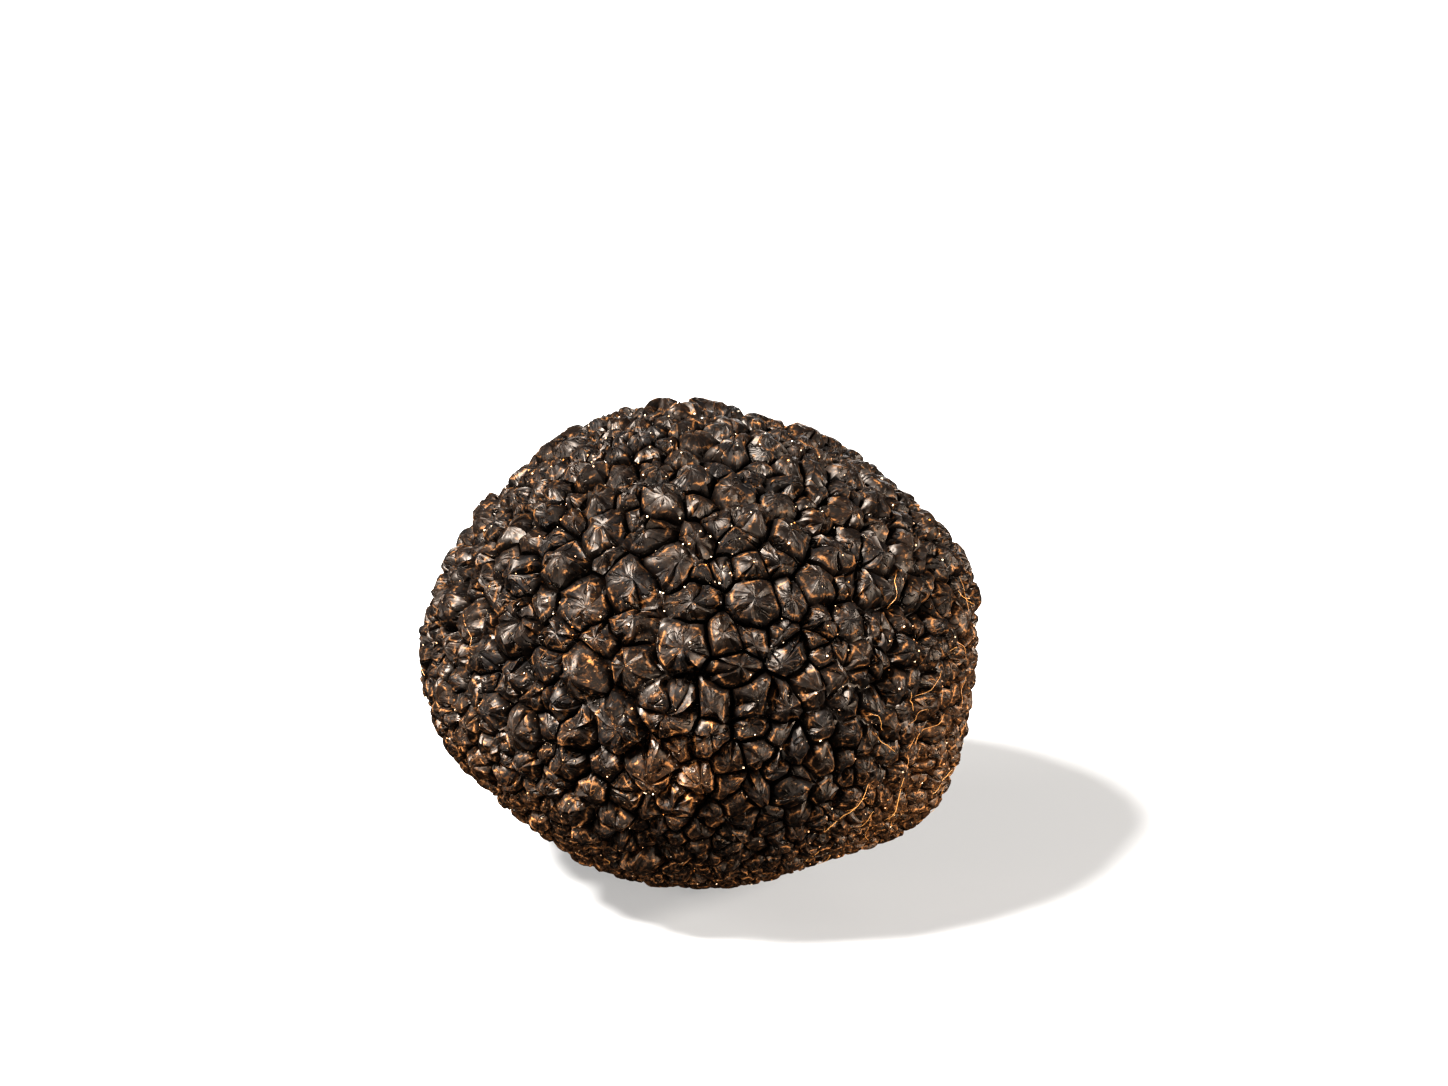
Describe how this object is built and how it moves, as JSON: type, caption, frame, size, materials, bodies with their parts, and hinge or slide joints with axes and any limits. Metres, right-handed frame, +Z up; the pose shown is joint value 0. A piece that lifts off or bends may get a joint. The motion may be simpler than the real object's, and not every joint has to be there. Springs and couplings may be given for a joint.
{
  "type": "black truffle",
  "caption": "Whole black truffle: a firm lumpy fungus, its skin raised all over into many-sided pyramid warts, lying on a small flat spot.",
  "frame": {"origin": "centre of the base of the bounding box, on the surface that the truffle lies on", "axes": "+X along the truffle's longest way, which is to the right when it is seen from the front (-Y); +Z up, its shortest way"},
  "size_m": [0.0566, 0.0543, 0.0481],
  "materials": {
    "skin": "satin",
    "soil_grains": "satin",
    "root_hairs": "satin"
  },
  "bodies": {
    "root": {"truffle": "skin"}
  },
  "joints": []
}
